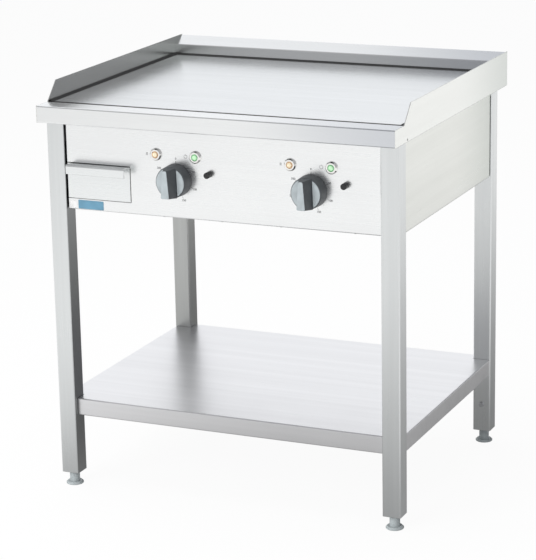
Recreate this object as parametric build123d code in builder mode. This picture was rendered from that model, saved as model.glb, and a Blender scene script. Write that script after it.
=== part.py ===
from build123d import *
import math
import os

# Flat top electric griddle on an open stand, in stainless sheet.
# Frame: the origin is on the floor under the middle of the top, +X to the right, +Y to the back, +Z up.
# All sizes are in millimetres.

os.makedirs("parts", exist_ok=True)

# ---- the whole griddle ----
width = 800.0
depth = 700.0
top_height = 850.0
sheet = 1.5
bend = 2.6

# ---- the top: rim, splash guards and griddle plate ----
lip_height = 36.0
lip_return = 12.0
guard_height = 40.0
guard_foot = 49.0
guard_slant = 38.0
upstand_band = 23.0
upstand_slope = 40.0
plate_thickness = 12.0
plate_drop = 0.5
plate_seam = 1.0
gutter_width = 5.0
ledge_width = 20.0
relief_hole_d = 5.0
outlet_inset = 70.0
outlet_length = 100.0
chute_margin = 8.0

# ---- the stand ----
foot_rise = 30.0
leg_size = 40.0
leg_wall = 1.5
leg_corner = 3.0
leg_inset_side = 5.0
leg_inset_front = 32.0
leg_inset_rear = 50.0
rail_height = 30.0
rail_thickness = 4.0

# ---- levelling feet ----
foot_pad_d = 38.0
foot_pad_h = 6.0
foot_stem_d = 22.0
foot_edge = 1.5
stud_d = 10.0
stud_length = 50.0
stud_clearance = 0.05
insert_height = 30.0
insert_clearance = 0.1
foot_seat_gap = 0.3

# ---- shelf ----
shelf_height = 200.0
shelf_lip = 38.0
shelf_return = 12.0
shelf_setback_front = 11.0
shelf_setback_side = 2.0
shelf_leg_gap = 1.0
stiffener_width = 40.0
stiffener_flange = 20.0
stiffener_height = 20.0
bracket_width = 18.0
bracket_shift = 4.0
bracket_reach = 30.0
bracket_thickness = 2.0
m6 = 6.0
m5 = 5.0
m4 = 4.0
hole_clearance = 0.4
thread_clearance = 0.1
screw_inset = 60.0

# ---- housing ----
panel_bottom = 625.0
panel_setback = 5.0
panel_gap_left = 3.5
panel_gap = 0.5
side_panel_setback = 3.0
side_panel_rear_gap = 5.0
panel_flange = 20.0
cover_gap = 1.6
vent_length = 60.0
vent_width = 5.0
vent_pitch = 75.0
vent_count = 8
vent_heights = (735.0, 750.0, 765.0)
cover_vent_rows = (-60.0, 60.0)
cover_vent_x = 60.0

# ---- drip drawer ----
drawer_width = 147.0
drawer_height = 76.0
drawer_base = 24.5
drawer_gap = 0.8
drawer_length = 400.0
drawer_wall = 1.2
drawer_side_gap = 2.5
drawer_depth = 60.0
pan_rise = 2.0
runner_inset = 4.0
handle_reach = 27.0
handle_drop = 18.5
handle_inset = 11.0
handle_rise = 2.0
runner_flange = 15.0
runner_gap = 0.3
runner_side_gap = 3.0

# ---- control groups: a knob, two lamps and a covered reset button each ----
group_x = (-97.0, 204.5)
knob_z = 706.0
lamp_z = 757.0
lamp_spread = 90.0
lamp_offset = 0.0
reset_offset = 75.0
reset_z = 723.0
knob_d = 69.0
knob_face_d = 66.5
knob_skirt = 28.0
knob_gap = 1.0
ridge_proud = 56.0
ridge_front_widths = (10.0, 19.0)
ridge_root_widths = (27.0, 31.0)
ridge_front_setbacks = (3.0, 5.0)
ridge_root_setbacks = (1.5, 1.5)
ridge_sink = 1.0
face_thickness = 1.2
face_margin = 1.0
face_inset = 0.3
thermostat_depth = 38.0
thermostat_size = 46.0
spindle_d = 6.0
spindle_length = 30.0
spindle_clearance = 0.05
bush_d = 10.0
bush_clearance = 0.2
lamp_bezel_d = 26.0
lamp_bezel_h = 5.0
lamp_lens_d = 15.0
lamp_lens_h = 6.5
lamp_barrel_d = 12.0
lamp_barrel_length = 32.0
cap_d = 13.0
cap_length = 14.0
cap_wall = 1.2
cap_clearance = 0.3
reset_bush_d = 9.8
button_d = 5.0
button_proud = 4.0
button_clearance = 0.1
button_travel = 2.0

# ---- heating ----
element_d = 8.5
element_pitch = 52.0
element_runs = 6
element_margin = 55.0
clamp_width = 20.0
clamp_thickness = 3.0
probe_d = 6.0
probe_length = 110.0
insulation_thickness = 30.0
insulation_gap = 6.0
insulation_clearance = 0.5
tray_flange = 10.0
tray_clearance = 2.0

# ---- services ----
gland_r = 10.0
gland_length = 22.0
gland_x = 250.0
gland_z = 665.0
gland_nut = 7.0
gland_nut_h = 8.0
gland_back_h = 6.0
gland_thread = 12.0
gland_wall = 4.0
contactor_x = (60.0, 120.0)
contactor_back = 95.0
contactor_size = (45.0, 60.0, 75.0)
contactor_coil = (30.0, 12.0)
terminal_back = 60.0
terminal_left = 60.0
terminal_size = (70.0, 30.0, 32.0)
terminal_pitch = (13.0, 16.0)
terminal_way_r = 3.5
terminal_way_depth = 8.0
safety_size = (28.0, 34.0, 30.0)
lamp_nut_h = 4.0
earth_bolt_z = 93.0

# ---- places worked out from the sizes ----
half_w = width / 2
knob_overhang = ridge_proud - leg_inset_front - panel_setback
front = (knob_overhang - depth) / 2
back = front + depth
lip_bottom = top_height - lip_height
guard_top = top_height + guard_height
plate_top = top_height - plate_drop
ledge_top = plate_top - plate_thickness
riser_y = front + guard_foot
upstand_y = back - upstand_slope
guard_inside = half_w - sheet

leg_bottom = foot_rise
leg_top = ledge_top - sheet
leg_x = half_w - leg_inset_side - leg_size / 2
leg_inner = leg_x - leg_size / 2
leg_outer = leg_x + leg_size / 2
leg_front = front + leg_inset_front
leg_front_y = leg_front + leg_size / 2
leg_front_back = leg_front + leg_size
leg_rear = back - leg_inset_rear
leg_rear_y = leg_rear - leg_size / 2
leg_rear_front = leg_rear - leg_size

panel_y = leg_front + panel_setback
panel_in = panel_y + sheet
rear_panel_y = leg_rear - panel_setback
side_panel_x = leg_outer - side_panel_setback
housing_bottom = panel_bottom + sheet
cover_top = housing_bottom + sheet

corners = {
    "front_left": (-leg_x, leg_front_y),
    "front_right": (leg_x, leg_front_y),
    "rear_left": (-leg_x, leg_rear_y),
    "rear_right": (leg_x, leg_rear_y),
}


def save(piece, name):
    """Label a finished piece and write it to its own file."""
    piece.part.label = name
    export_step(piece.part, "parts/" + name + ".step")


def folded(plane, points, length, side=Side.LEFT, radius=bend, thickness=sheet):
    """A folded sheet: points are one face of its section in the plane, with the metal on the given side."""
    with BuildPart() as piece:
        with BuildSketch(plane):
            with BuildLine():
                FilletPolyline(*points, radius=radius)
                offset(amount=thickness, side=side)
            make_face()
        extrude(amount=length)
    return piece.part


def across(x):
    """The plane at one x, drawn with +Y to the right and +Z up."""
    return Plane.YZ.offset(x)


def facing(y):
    """The plane at one y, drawn with +X to the right and +Z up, whose normal is -Y."""
    return Plane(origin=(0, y, 0), x_dir=(1, 0, 0), z_dir=(0, -1, 0))


def level(z):
    """The plane at one height, drawn with +X to the right and +Y up."""
    return Plane.XY.offset(z)


# ---- legs: square tube with a plastic insert pressed into the lower end ----
for name, (x, y) in corners.items():
    toward = -math.copysign(1, x)
    bracket_y = y - math.copysign(bracket_shift, y)
    with BuildPart() as leg:
        with BuildSketch(level(leg_bottom)):
            with Locations((x, y)):
                RectangleRounded(leg_size, leg_size, leg_corner)
                RectangleRounded(
                    leg_size - 2 * leg_wall, leg_size - 2 * leg_wall, leg_corner - leg_wall, mode=Mode.SUBTRACT
                )
        extrude(amount=leg_top - leg_bottom)
        with BuildSketch(across(x)):
            with Locations((bracket_y, shelf_height - sheet - bracket_reach / 2)):
                Circle((m6 + hole_clearance) / 2)
        extrude(amount=toward * leg_size, mode=Mode.SUBTRACT)
        if name == "rear_right":
            with BuildSketch(facing(y)):
                with Locations((x, earth_bolt_z)):
                    Circle((m6 + hole_clearance) / 2)
            extrude(amount=leg_size, mode=Mode.SUBTRACT)
    save(leg, "leg_" + name)

insert_size = leg_size - 2 * leg_wall - 2 * insert_clearance
with BuildPart() as leg_inserts:
    with BuildSketch(level(leg_bottom)):
        with Locations(*corners.values()):
            RectangleRounded(insert_size, insert_size, leg_corner - leg_wall)
            Circle(stud_d / 2 + stud_clearance, mode=Mode.SUBTRACT)
    extrude(amount=insert_height)
save(leg_inserts, "leg_inserts")

# ---- levelling feet: a pad, a stem and a threaded stud in one piece ----
for name, (x, y) in corners.items():
    with BuildPart() as foot:
        with BuildSketch(level(0)):
            with Locations((x, y)):
                Circle(foot_pad_d / 2)
        extrude(amount=foot_pad_h)
        chamfer(foot.edges().filter_by(GeomType.CIRCLE).group_by(Axis.Z)[-1], foot_edge * 2)
        fillet(foot.edges().filter_by(GeomType.CIRCLE).group_by(Axis.Z)[0], foot_edge)
        with BuildSketch(level(foot_pad_h)):
            with Locations((x, y)):
                Circle(foot_stem_d / 2)
        extrude(amount=leg_bottom - foot_seat_gap - foot_pad_h)
        with BuildSketch(level(leg_bottom - foot_seat_gap)):
            with Locations((x, y)):
                Circle(stud_d / 2)
        extrude(amount=stud_length)
    save(foot, "foot_" + name)

# ---- shelf: one sheet notched round the legs, with a lip folded down on each side ----
shelf_under = shelf_height - sheet
shelf_front = leg_front + shelf_setback_front
shelf_rear = leg_rear - shelf_setback_front
shelf_side = leg_outer - shelf_setback_side
shelf_x = leg_inner - shelf_leg_gap
shelf_y0 = leg_front_back + shelf_leg_gap
shelf_y1 = leg_rear_front - shelf_leg_gap
shelf_mid_y = (shelf_y0 + shelf_y1) / 2
stud_x = leg_inner - bracket_reach / 2
bracket_ys = (leg_front_y + bracket_shift, leg_rear_y - bracket_shift)
shelf_studs = [(side * stud_x, y) for side in (-1, 1) for y in bracket_ys]
shelf_lip_low = shelf_height - shelf_lip

with BuildPart() as shelf:
    add(
        folded(
            across(-shelf_x),
            [
                (shelf_front + shelf_return, shelf_lip_low),
                (shelf_front, shelf_lip_low),
                (shelf_front, shelf_height),
                (shelf_rear, shelf_height),
                (shelf_rear, shelf_lip_low),
                (shelf_rear - shelf_return, shelf_lip_low),
            ],
            2 * shelf_x,
            side=Side.RIGHT,
        )
    )
    for side in (-1, 1):
        add(
            folded(
                facing(shelf_y1),
                [
                    (side * shelf_x * 0.9, shelf_height),
                    (side * shelf_side, shelf_height),
                    (side * shelf_side, shelf_lip_low),
                    (side * (shelf_side - shelf_return), shelf_lip_low),
                ],
                shelf_y1 - shelf_y0,
                side=Side.RIGHT if side > 0 else Side.LEFT,
            )
        )
    with BuildSketch(level(shelf_under)):
        with Locations(*shelf_studs):
            Circle(m5 / 2)
    extrude(amount=-(bracket_thickness + m5 + 4))
save(shelf, "shelf")

with BuildPart() as shelf_stiffener:
    add(
        folded(
            across(-shelf_x + shelf_return),
            [
                (shelf_mid_y - stiffener_width / 2 - stiffener_flange, shelf_under),
                (shelf_mid_y - stiffener_width / 2, shelf_under),
                (shelf_mid_y - stiffener_width / 2, shelf_under - stiffener_height),
                (shelf_mid_y + stiffener_width / 2, shelf_under - stiffener_height),
                (shelf_mid_y + stiffener_width / 2, shelf_under),
                (shelf_mid_y + stiffener_width / 2 + stiffener_flange, shelf_under),
            ],
            2 * (shelf_x - shelf_return),
            side=Side.RIGHT,
        )
    )
save(shelf_stiffener, "shelf_stiffener")

# ---- shelf brackets, with the bolts into the legs and the nuts under the shelf ----
bracket_bolt_z = shelf_under - bracket_reach / 2
with BuildPart() as shelf_brackets:
    for side in (-1, 1):
        for y in bracket_ys:
            with BuildSketch(facing(y + bracket_width / 2)):
                with BuildLine():
                    Polyline(
                        (side * leg_inner, shelf_under),
                        (side * (leg_inner - bracket_reach), shelf_under),
                        (side * (leg_inner - bracket_reach), shelf_under - bracket_thickness),
                        (side * (leg_inner - bracket_thickness), shelf_under - bracket_thickness),
                        (side * (leg_inner - bracket_thickness), shelf_under - bracket_reach),
                        (side * leg_inner, shelf_under - bracket_reach),
                        close=True,
                    )
                make_face()
            extrude(amount=bracket_width)
            with BuildSketch(across(side * leg_inner)):
                with Locations((y, bracket_bolt_z)):
                    Circle((m6 + hole_clearance) / 2)
            extrude(amount=-side * bracket_thickness, mode=Mode.SUBTRACT)
    with BuildSketch(level(shelf_under)):
        with Locations(*shelf_studs):
            Circle((m5 + hole_clearance) / 2)
    extrude(amount=-bracket_thickness, mode=Mode.SUBTRACT)
save(shelf_brackets, "shelf_brackets")

with BuildPart() as shelf_bolts:
    for side in (-1, 1):
        for y in bracket_ys:
            with BuildSketch(across(side * (leg_inner - bracket_thickness))):
                with Locations((y, bracket_bolt_z)):
                    RegularPolygon(m6 * 0.8, 6, major_radius=False)
            extrude(amount=-side * m6 * 0.7)
            with BuildSketch(across(side * (leg_inner - bracket_thickness))):
                with Locations((y, bracket_bolt_z)):
                    Circle(m6 / 2)
            extrude(amount=side * (bracket_thickness + leg_wall + m6))
save(shelf_bolts, "shelf_bolts")

with BuildPart() as shelf_nuts:
    with BuildSketch(level(shelf_under - bracket_thickness)):
        with Locations(*shelf_studs):
            RegularPolygon(m5 * 0.8, 6, major_radius=False)
            Circle((m5 + thread_clearance) / 2, mode=Mode.SUBTRACT)
    extrude(amount=-m5 * 0.8)
save(shelf_nuts, "shelf_nuts")

# ---- earthing bolt on the front face of the rear right leg ----
with BuildPart() as earth_bolt:
    with BuildSketch(facing(leg_rear_front)):
        with Locations((leg_x, earth_bolt_z)):
            Circle(m6)
            Circle((m6 + hole_clearance) / 2, mode=Mode.SUBTRACT)
    extrude(amount=sheet)
    with BuildSketch(facing(leg_rear_front - sheet)):
        with Locations((leg_x, earth_bolt_z)):
            RegularPolygon(m6 * 0.8, 6, major_radius=False)
    extrude(amount=m6 * 0.7)
    with BuildSketch(facing(leg_rear_front - sheet)):
        with Locations((leg_x, earth_bolt_z)):
            Circle(m6 / 2)
    extrude(amount=-(sheet + leg_wall + m6))
save(earth_bolt, "earth_bolt")

# ---- top rails: flat bars on edge between the legs, under the top ----
rail_low = leg_top - rail_height
rail_len_x = 2 * leg_inner
rail_mid_y = (leg_front_back + leg_rear_front) / 2
rail_len_y = leg_rear_front - leg_front_back
rail_side_x = side_panel_x - sheet - rail_thickness / 2
with BuildPart() as top_rails:
    with BuildSketch(level(rail_low)):
        with Locations((0, panel_in + rail_thickness / 2), (0, rear_panel_y - sheet - rail_thickness / 2)):
            Rectangle(rail_len_x, rail_thickness)
        with Locations((-rail_side_x, rail_mid_y), (rail_side_x, rail_mid_y)):
            Rectangle(rail_thickness, rail_len_y)
    extrude(amount=rail_height)
save(top_rails, "top_rails")

# ---- front rim: lip, rim and riser in one folded sheet, with a ledge that carries the plate ----
gutter_x0 = -half_w + outlet_inset
gutter_x1 = gutter_x0 + outlet_length
plate_front = riser_y + gutter_width
with BuildPart() as front_rim:
    add(
        folded(
            across(-guard_inside),
            [
                (riser_y + ledge_width + gutter_width, ledge_top),
                (riser_y, ledge_top),
                (riser_y, top_height),
                (front, top_height),
                (front, lip_bottom),
                (front + lip_return, lip_bottom),
            ],
            2 * guard_inside,
            radius=[0.5, bend, bend, bend],
        )
    )
    with BuildSketch(level(ledge_top)):
        with Locations(((gutter_x0 + gutter_x1) / 2, riser_y + gutter_width / 2)):
            Rectangle(gutter_x1 - gutter_x0, gutter_width)
    extrude(amount=-sheet, mode=Mode.SUBTRACT)
save(front_rim, "front_rim")

# ---- side guards: one flat sheet each, cut on a slant in front ----
for name, x in (("left", -half_w), ("right", guard_inside)):
    with BuildPart() as side_guard:
        with BuildSketch(across(x)):
            with BuildLine():
                Polyline(
                    (front, lip_bottom),
                    (front, top_height),
                    (riser_y, top_height),
                    (riser_y + guard_slant, guard_top),
                    (back, guard_top),
                    (back, lip_bottom),
                    close=True,
                )
            make_face()
            with Locations((leg_front_back - m5, lip_bottom + m5)):
                Circle(relief_hole_d / 2, mode=Mode.SUBTRACT)
        extrude(amount=sheet)
    save(side_guard, "side_guard_" + name)

# ---- rear upstand: ledge, upright band, slope and back in one folded sheet ----
with BuildPart() as rear_upstand:
    add(
        folded(
            across(-guard_inside),
            [
                (upstand_y - ledge_width, ledge_top),
                (upstand_y, ledge_top),
                (upstand_y, top_height + upstand_band),
                (back, guard_top),
                (back, lip_bottom),
                (back - lip_return, lip_bottom),
            ],
            2 * guard_inside,
            side=Side.RIGHT,
            radius=[0.5, bend, bend, bend],
        )
    )
save(rear_upstand, "rear_upstand")

# ---- plate supports: an angle welded inside each side guard ----
support_y0 = riser_y + gutter_width + ledge_width
support_y1 = upstand_y - ledge_width
with BuildPart() as plate_supports:
    for side in (-1, 1):
        add(
            folded(
                facing(support_y1),
                [
                    (side * (guard_inside - ledge_width), ledge_top),
                    (side * guard_inside, ledge_top),
                    (side * guard_inside, ledge_top - ledge_width),
                ],
                support_y1 - support_y0,
                side=Side.RIGHT if side > 0 else Side.LEFT,
            )
        )
save(plate_supports, "plate_supports")

# ---- griddle plate: thick ground steel, lying on the ledges, with a gutter along its front edge ----
plate_back = upstand_y - plate_seam
plate_half = guard_inside - plate_seam
plate_mid_y = (plate_front + plate_back) / 2
with BuildPart() as griddle_plate:
    with BuildSketch(level(ledge_top)):
        with Locations((0, plate_mid_y)):
            RectangleRounded(2 * plate_half, plate_back - plate_front, 2)
    extrude(amount=plate_thickness)
    chamfer(griddle_plate.edges().group_by(Axis.Z)[-1], 0.6)
save(griddle_plate, "griddle_plate")

# ---- drain chute: from the gutter's outlet down to the drawer ----
chute_low = panel_bottom + drawer_base + drawer_height + chute_margin
chute_x = (gutter_x0 + gutter_x1) / 2
chute_w = gutter_x1 - gutter_x0 + 2 * sheet
chute_d = gutter_width + chute_margin
chute_y = riser_y + gutter_width / 2
with BuildPart() as drain_chute:
    with BuildSketch(level(chute_low)):
        with Locations((chute_x, chute_y)):
            Rectangle(chute_w, chute_d)
            Rectangle(chute_w - 2 * sheet, chute_d - 2 * sheet, mode=Mode.SUBTRACT)
    extrude(amount=leg_top - chute_low)
save(drain_chute, "drain_chute")

# ---- heating elements: a tube bent to and fro under each half of the plate ----
element_z = ledge_top - element_d / 2
run_front = plate_front + element_margin + element_pitch / 2
run_back = plate_back - element_margin - element_pitch / 2
zone_x = plate_half / 2
element_first = (element_runs - 1) / 2 * element_pitch
for name, cx in (("left", -zone_x), ("right", zone_x)):
    points = [(cx - element_first, run_front - element_pitch / 2, element_z)]
    for run in range(element_runs):
        x = cx - element_first + run * element_pitch
        near = run_front - element_pitch / 2
        ends = (near, run_back + element_pitch / 2)
        start, stop = ends if run % 2 == 0 else ends[::-1]
        if run > 0:
            points.append((x, start, element_z))
        points.append((x, stop, element_z))
    with BuildPart() as element:
        with BuildLine() as route:
            FilletPolyline(*points, radius=element_pitch / 2 - 0.5)
        with BuildSketch(Plane(origin=points[0], z_dir=(0, 1, 0))):
            Circle(element_d / 2)
        sweep()
    save(element, "heating_element_" + name)

# ---- element clamps: flat bars on studs that press the elements to the plate ----
clamp_rows = [run_front + fraction * (run_back - run_front) for fraction in (0.1, 0.5, 0.9)]
clamp_half = element_first + element_pitch / 2 + 6
clamp_top = ledge_top - element_d
clamp_places = [(cx, y) for cx in (-zone_x, zone_x) for y in clamp_rows]
clamp_studs = [
    (cx + offset_x, y)
    for cx, y in clamp_places
    for offset_x in (-element_pitch * 2, 0, element_pitch * 2)
]
with BuildPart() as element_clamps:
    with BuildSketch(level(clamp_top)):
        with Locations(*clamp_places):
            Rectangle(2 * clamp_half, clamp_width)
        with Locations(*clamp_studs):
            Circle((m6 + hole_clearance) / 2, mode=Mode.SUBTRACT)
    extrude(amount=-clamp_thickness)
save(element_clamps, "element_clamps")

with BuildPart() as clamp_studs_and_nuts:
    with BuildSketch(level(ledge_top)):
        with Locations(*clamp_studs):
            Circle(m6 / 2)
    extrude(amount=-(element_d + clamp_thickness + m6 + 1))
    with BuildSketch(level(clamp_top - clamp_thickness)):
        with Locations(*clamp_studs):
            RegularPolygon(m6 * 0.8, 6, major_radius=False)
    extrude(amount=-m6 * 0.8)
save(clamp_studs_and_nuts, "clamp_studs")

# ---- thermostat probes: one bulb held under each half of the plate ----
probe_z = ledge_top - probe_d / 2
with BuildPart() as thermostat_probes:
    for cx in (-zone_x, zone_x):
        for offset_x in (-element_pitch, element_pitch):
            with BuildSketch(facing(plate_mid_y + probe_length / 2 + clamp_width * 2)):
                with Locations((cx + offset_x, probe_z)):
                    Circle(probe_d / 2)
            extrude(amount=probe_length)
save(thermostat_probes, "thermostat_probes")

# ---- insulation: a board below the elements, in a tray hung from the rails ----
insulation_top = clamp_top - clamp_thickness - m6 - 1 - insulation_gap
insulation_low = insulation_top - insulation_thickness
tray_half = rail_side_x - rail_thickness / 2 - tray_flange
tray_y0 = leg_front_back + tray_clearance
tray_y1 = leg_rear_front - tray_clearance
tray_mid_y = (tray_y0 + tray_y1) / 2
board_gap = sheet + insulation_clearance
with BuildPart() as insulation_board:
    with BuildSketch(level(insulation_low)):
        with Locations((0, tray_mid_y)):
            Rectangle(2 * (tray_half - board_gap), tray_y1 - tray_y0 - 2 * board_gap)
    extrude(amount=insulation_thickness)
save(insulation_board, "insulation_board")

with BuildPart() as insulation_tray:
    with BuildSketch(level(insulation_low - sheet)):
        with Locations((0, tray_mid_y)):
            Rectangle(2 * tray_half, tray_y1 - tray_y0)
    extrude(amount=rail_low - insulation_low + sheet)
    with BuildSketch(level(rail_low)):
        with Locations((0, tray_mid_y)):
            Rectangle(2 * (rail_side_x + rail_thickness / 2), tray_y1 - tray_y0)
    extrude(amount=-sheet)
    with BuildSketch(level(insulation_low)):
        with Locations((0, tray_mid_y)):
            Rectangle(2 * (tray_half - sheet), tray_y1 - tray_y0 - 2 * sheet)
    extrude(amount=rail_low - insulation_low, mode=Mode.SUBTRACT)
save(insulation_tray, "insulation_tray")

# ---- front panel, with the openings for the drawer and the controls ----
panel_top = leg_top - 0.5
panel_left = -leg_inner + panel_gap_left
panel_right = leg_inner - panel_gap
drawer_low = panel_bottom + drawer_base
drawer_high = drawer_low + drawer_height
drawer_right = panel_left + drawer_width
lamp_places = [(gx + lamp_offset + side * lamp_spread / 2, lamp_z) for gx in group_x for side in (-1, 1)]
knob_places = [(gx, knob_z) for gx in group_x]
reset_places = [(gx + reset_offset, reset_z) for gx in group_x]
with BuildPart() as front_panel:
    add(
        folded(
            across(panel_left),
            [(panel_y, panel_top), (panel_y, panel_bottom), (panel_y + panel_flange, panel_bottom)],
            panel_right - panel_left,
        )
    )
    with BuildSketch(facing(panel_y)):
        with Locations((panel_left, (drawer_low + drawer_high) / 2)):
            Rectangle(2 * (drawer_width + drawer_gap), drawer_height + 2 * drawer_gap)
        with Locations(*knob_places):
            Circle((bush_d + bush_clearance) / 2)
        with Locations(*lamp_places):
            Circle((lamp_barrel_d + bush_clearance) / 2)
        with Locations(*reset_places):
            Circle((reset_bush_d + bush_clearance) / 2)
    extrude(amount=-sheet, mode=Mode.SUBTRACT)
save(front_panel, "front_panel")

# ---- side panels ----
for name, side in (("left", -1), ("right", 1)):
    with BuildPart() as side_panel:
        add(
            folded(
                facing(leg_rear_front - side_panel_rear_gap),
                [
                    (side * side_panel_x, panel_top),
                    (side * side_panel_x, panel_bottom),
                    (side * (side_panel_x - panel_flange), panel_bottom),
                ],
                leg_rear_front - side_panel_rear_gap - leg_front_back - panel_gap,
                side=Side.RIGHT if side > 0 else Side.LEFT,
            )
        )
    save(side_panel, "side_panel_" + name)

# ---- rear panel, with vents and the hole for the cable gland ----
vent_row = (vent_count - 1) / 2 * vent_pitch
with BuildPart() as rear_panel:
    add(
        folded(
            across(-leg_inner + panel_gap),
            [(rear_panel_y, panel_top), (rear_panel_y, panel_bottom), (rear_panel_y - panel_flange, panel_bottom)],
            2 * (leg_inner - panel_gap),
            side=Side.RIGHT,
        )
    )
    with BuildSketch(facing(rear_panel_y)):
        for row in vent_heights:
            with Locations((0, row)):
                with GridLocations(vent_pitch, 0, vent_count, 1):
                    SlotOverall(vent_length, vent_width)
        with Locations((gland_x, gland_z)):
            Circle(gland_r + gland_wall)
    extrude(amount=sheet, mode=Mode.SUBTRACT)
save(rear_panel, "rear_panel")

# ---- bottom cover, notched round the legs and lying on the panels' flanges ----
with BuildPart() as bottom_cover:
    with BuildSketch(level(housing_bottom)):
        with Locations((0, (panel_in + rear_panel_y - sheet) / 2)):
            Rectangle(2 * (leg_inner - cover_gap - panel_gap_left), rear_panel_y - panel_in - sheet - 2 * cover_gap)
        with Locations((0, rail_mid_y)):
            Rectangle(2 * (side_panel_x - sheet - cover_gap), rail_len_y - 2 * cover_gap - side_panel_rear_gap)
        for row in cover_vent_rows:
            with Locations((cover_vent_x, row)):
                with GridLocations(vent_pitch, 0, vent_count - 2, 1):
                    SlotOverall(vent_length, vent_width, mode=Mode.SUBTRACT)
    extrude(amount=sheet)
save(bottom_cover, "bottom_cover")

# ---- screws: through the lower flanges into the cover, and through the rear panel into its rail ----
screw_x = leg_inner - screw_inset
cover_screws = [
    (fraction * screw_x, y)
    for y in (panel_y + panel_flange / 2 + 2, rear_panel_y - panel_flange / 2 - 2)
    for fraction in (-0.45, 0, 0.45, 1)
]
rear_screws = [(fraction * screw_x, rail_low + rail_height / 2) for fraction in (-1, -0.35, 0.35, 1)]
with BuildPart() as housing_screws:
    with BuildSketch(level(panel_bottom)):
        with Locations(*cover_screws):
            Circle(m4)
    extrude(amount=-m4 * 0.6)
    chamfer(housing_screws.edges().filter_by(GeomType.CIRCLE).group_by(Axis.Z)[0], 0.8)
    with BuildSketch(facing(rear_panel_y)):
        with Locations(*rear_screws):
            Circle(m4)
    extrude(amount=-m4 * 0.6)
save(housing_screws, "housing_screws")

# ---- drawer runners: a folded rail on each side of the drawer, standing on the bottom cover ----
pan_left = panel_left + drawer_side_gap
pan_right = drawer_right - drawer_side_gap
runner_y0 = leg_front_back + runner_inset
runner_length = drawer_length - (leg_front_back - panel_y)
runner_top = drawer_low + pan_rise - runner_gap
with BuildPart() as drawer_runners:
    for web, reach in ((pan_left - runner_side_gap, 1), (pan_right + runner_side_gap, -1)):
        add(
            folded(
                facing(runner_y0 + runner_length),
                [
                    (web - reach * runner_flange, cover_top + sheet),
                    (web, cover_top + sheet),
                    (web, runner_top),
                    (web + reach * (runner_flange + runner_side_gap), runner_top),
                ],
                runner_length,
                side=Side.RIGHT if reach > 0 else Side.LEFT,
                radius=[0.5, bend],
            )
        )
save(drawer_runners, "drawer_runners")

# ---- drip drawer: a pan for the fat, and a front with its handle lip ----
pan_low = drawer_low + pan_rise
pan_high = pan_low + drawer_depth
pan_y0 = panel_in
pan_w = pan_right - pan_left
with BuildPart() as drawer_pan:
    with BuildSketch(level(pan_low)):
        with Locations(((pan_left + pan_right) / 2, pan_y0 + drawer_length / 2)):
            RectangleRounded(pan_w, drawer_length, 6)
    extrude(amount=drawer_depth)
    fillet(drawer_pan.faces().sort_by(Axis.Z)[0].edges(), 3)
    offset(amount=-drawer_wall, openings=drawer_pan.faces().sort_by(Axis.Z)[-1])
save(drawer_pan, "drawer_pan")

with BuildPart() as drawer_front:
    add(
        folded(
            across(panel_left),
            [
                (panel_y, drawer_low),
                (panel_y, drawer_high - handle_rise),
                (panel_y - handle_reach, drawer_high),
                (panel_y - handle_reach, drawer_high - handle_drop),
            ],
            drawer_width,
            side=Side.RIGHT,
            radius=[0.8, bend],
        )
    )
    with BuildSketch(facing(panel_y)):
        with Locations((panel_left, drawer_high)):
            Rectangle(2 * handle_inset, 2 * (handle_drop + handle_rise))
    extrude(amount=handle_reach + sheet, mode=Mode.SUBTRACT)
save(drawer_front, "drawer_front")

# ---- knobs: skirt and grip ridge in dark plastic, light face plates, and the spindle ----
knob_back = panel_y - knob_gap
knob_front = knob_back - knob_skirt
ridge_front = panel_y - ridge_proud
knob_r = knob_d / 2
face_r = knob_face_d / 2
knob_taper = math.degrees(math.atan((knob_r - face_r) / knob_skirt))


def ridge_outline(gx, widths, top_setback, low_setback, margin=0.0):
    """The grip ridge seen from the front, as its widths at the top and the bottom and its setbacks from the edge."""
    top = knob_z + face_r - top_setback - margin
    low = knob_z - face_r + low_setback + margin
    half_top = widths[0] / 2 - margin
    half_low = widths[1] / 2 - margin
    with BuildSketch(Plane.XY) as outline:
        with BuildLine():
            Polyline((gx - half_top, top), (gx - half_low, low), (gx + half_low, low), (gx + half_top, top), close=True)
        make_face()
        fillet(outline.vertices(), 3)
    return outline.sketch


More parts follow.
